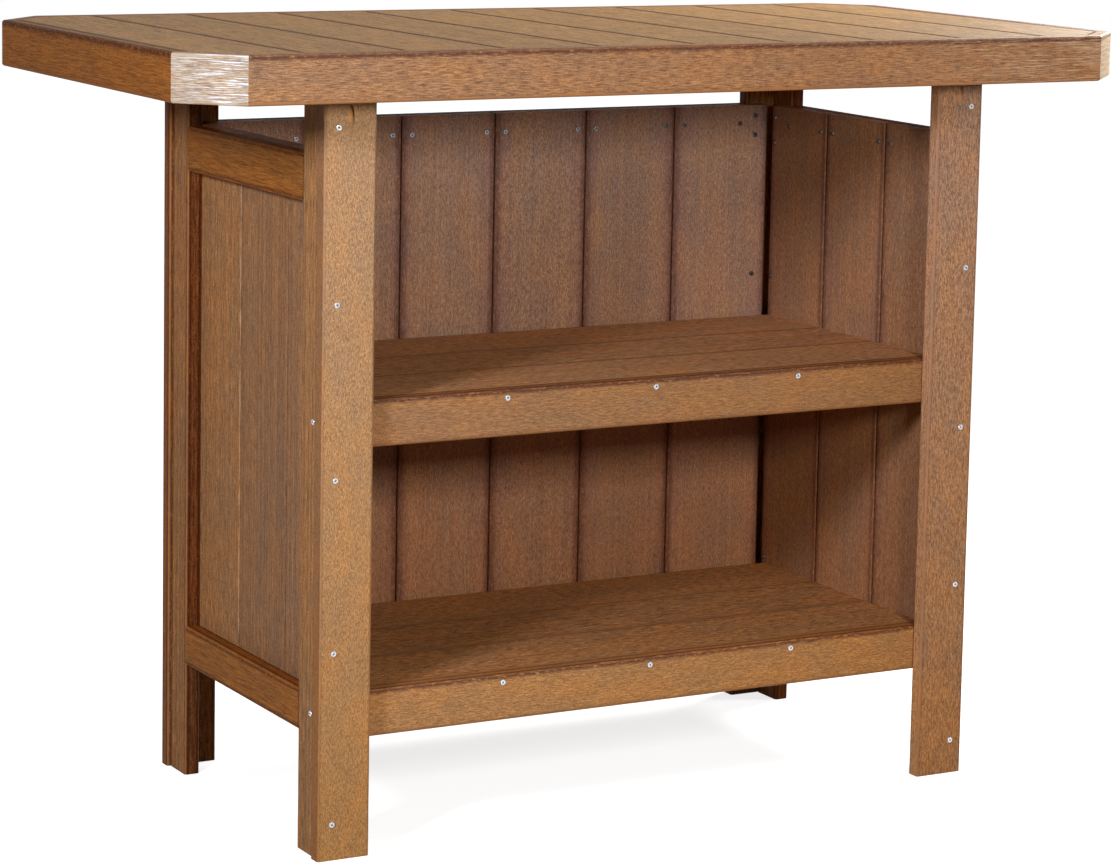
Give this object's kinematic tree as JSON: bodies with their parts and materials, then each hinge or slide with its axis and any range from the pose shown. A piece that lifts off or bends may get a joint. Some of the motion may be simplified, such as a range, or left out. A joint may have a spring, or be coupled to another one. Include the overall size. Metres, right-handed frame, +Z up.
{
  "type": "bar counter with shelves",
  "caption": "Free-standing bar-height counter with a planked top, clipped corners, closed panelled sides and back, and two planked shelves open to the front.",
  "frame": {"origin": "on the floor, below the middle of the top", "axes": "+X along the counter, +Y from the open front to the closed back, +Z up"},
  "size_m": [1.441, 0.741, 1.067],
  "materials": {
    "deck_lumber": "solid plastic lumber, fine embossed wood grain, satin",
    "apron_lumber": "solid plastic lumber, fine embossed wood grain, satin",
    "leg_lumber": "solid plastic lumber, fine embossed wood grain, satin",
    "rail_lumber": "solid plastic lumber, fine embossed wood grain, satin",
    "panel_lumber": "solid plastic lumber, fine embossed wood grain, satin",
    "shelf_lumber": "solid plastic lumber, fine embossed wood grain, satin",
    "hidden_lumber": "solid plastic lumber, sawn or embossed, satin",
    "screws": "stainless pan heads"
  },
  "bodies": {
    "root": {"apron_back": "apron_lumber", "apron_corner_back_left": "apron_lumber", "apron_corner_back_right": "apron_lumber", "apron_corner_front_left": "apron_lumber", "apron_corner_front_right": "apron_lumber", "apron_front": "apron_lumber", "apron_left": "apron_lumber", "apron_right": "apron_lumber", "back_board_1": "panel_lumber", "back_board_2": "panel_lumber", "back_board_3": "panel_lumber", "back_board_4": "panel_lumber", "back_board_5": "panel_lumber", "back_board_6": "panel_lumber", "deck_batten_back": "hidden_lumber", "deck_batten_front": "hidden_lumber", "deck_plank_01": "deck_lumber", "deck_plank_02": "deck_lumber", "deck_plank_03": "deck_lumber", "deck_plank_04": "deck_lumber", "deck_plank_05": "deck_lumber", "deck_plank_06": "deck_lumber", "deck_plank_07": "deck_lumber", "deck_plank_08": "deck_lumber", "deck_plank_09": "deck_lumber", "deck_plank_10": "deck_lumber", "frame_screws": "screws", "leg_back_left_face": "leg_lumber", "leg_back_left_side": "leg_lumber", "leg_back_right_face": "leg_lumber", "leg_back_right_side": "leg_lumber", "leg_front_left_face": "leg_lumber", "leg_front_left_side": "leg_lumber", "leg_front_right_face": "leg_lumber", "leg_front_right_side": "leg_lumber", "low_shelf_board_1": "shelf_lumber", "low_shelf_board_2": "shelf_lumber", "low_shelf_board_3": "shelf_lumber", "low_shelf_cleats": "hidden_lumber", "low_shelf_fascia": "shelf_lumber", "mid_shelf_board_1": "shelf_lumber", "mid_shelf_board_2": "shelf_lumber", "mid_shelf_board_3": "shelf_lumber", "mid_shelf_cleats": "hidden_lumber", "mid_shelf_fascia": "shelf_lumber", "panel_screws": "screws", "rail_back_bottom": "rail_lumber", "rail_back_top": "rail_lumber", "rail_left_bottom": "rail_lumber", "rail_left_top": "rail_lumber", "rail_right_bottom": "rail_lumber", "rail_right_top": "rail_lumber", "side_board_left_1": "panel_lumber", "side_board_left_2": "panel_lumber", "side_board_left_3": "panel_lumber", "side_board_right_1": "panel_lumber", "side_board_right_2": "panel_lumber", "side_board_right_3": "panel_lumber"}
  },
  "joints": []
}
